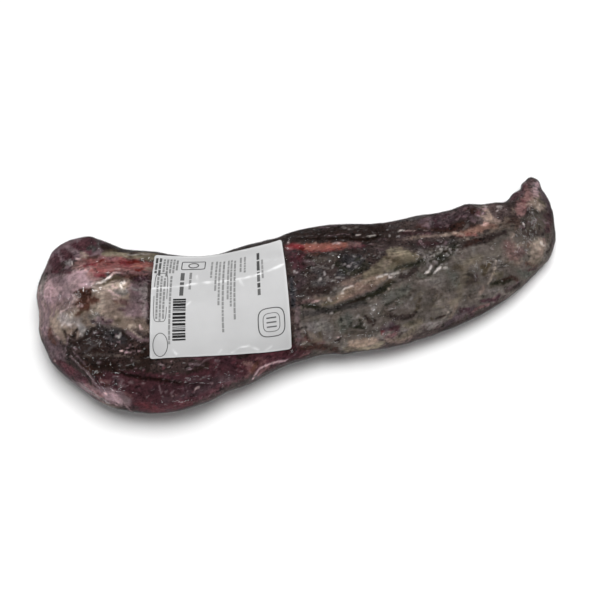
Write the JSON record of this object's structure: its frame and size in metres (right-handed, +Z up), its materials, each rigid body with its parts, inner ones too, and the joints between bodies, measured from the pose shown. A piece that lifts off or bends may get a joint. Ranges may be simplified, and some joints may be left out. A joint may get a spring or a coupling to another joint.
{
  "type": "vacuum-packed beef tenderloin",
  "caption": "Whole beef tenderloin in a tight clear vacuum bag, thick at the head and thin at the tail, lying on its flat side with a blank price label stuck across it.",
  "frame": {"origin": "centre of the bounding box, on the surface that the pack lies on", "axes": "+X along the pack from the head to the tail, +Y from the front edge to the back edge, +Z up"},
  "size_m": [0.45, 0.1668, 0.0607],
  "materials": {
    "packed_meat": "wet dark red meat under clear glossy film",
    "label": "coated white label"
  },
  "bodies": {
    "root": {"packed_tenderloin": "packed_meat", "label": "label"}
  },
  "joints": []
}
